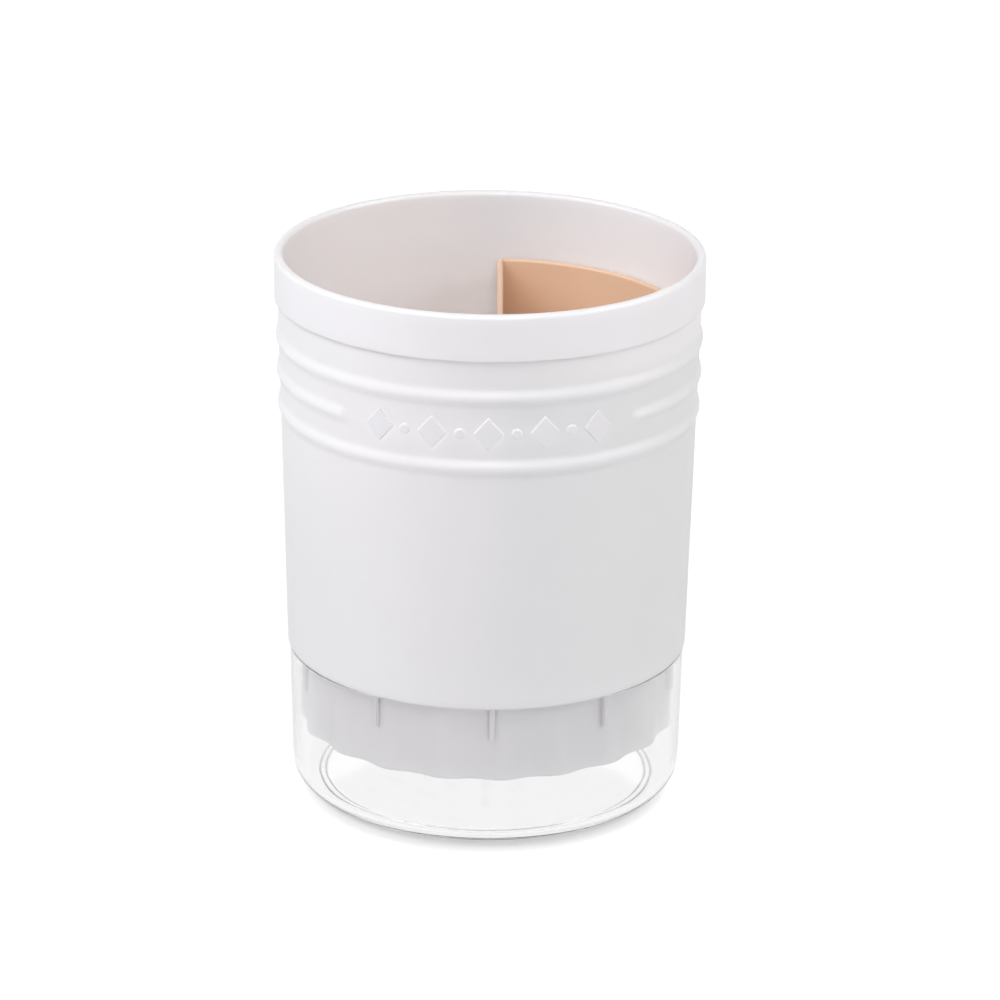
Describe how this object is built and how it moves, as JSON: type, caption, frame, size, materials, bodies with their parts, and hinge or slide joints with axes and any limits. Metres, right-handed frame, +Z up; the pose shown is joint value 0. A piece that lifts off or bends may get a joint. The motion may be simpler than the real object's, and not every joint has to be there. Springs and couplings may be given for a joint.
{
  "type": "chopstick holder",
  "caption": "Round open-topped chopstick and cutlery holder with beaded collar, drain floor, lift-out half-round divider and clear drip base.",
  "frame": {"origin": "centre of the drip base's underside, on the cup's vertical axis", "axes": "+Z up along the cup's axis, the front with the raised ornament faces -Y, the divider stands on the +X side"},
  "size_m": [0.12, 0.12, 0.157],
  "materials": {
    "white_plastic": "fine satin, warm white",
    "clear_plastic": "clear, polished",
    "beige_plastic": "satin, light beige"
  },
  "bodies": {
    "base": {"drip_base": "clear_plastic"},
    "cup": {"cup_body": "white_plastic"},
    "divider": {"divider_insert": "beige_plastic"}
  },
  "joints": [
    {"name": "cup_lift", "type": "slide", "parent": "base", "child": "cup", "axis": [0, 0, 1], "range_m": [0, 0.06]},
    {"name": "divider_lift", "type": "slide", "parent": "cup", "child": "divider", "axis": [0, 0, 1], "range_m": [0, 0.15]}
  ]
}
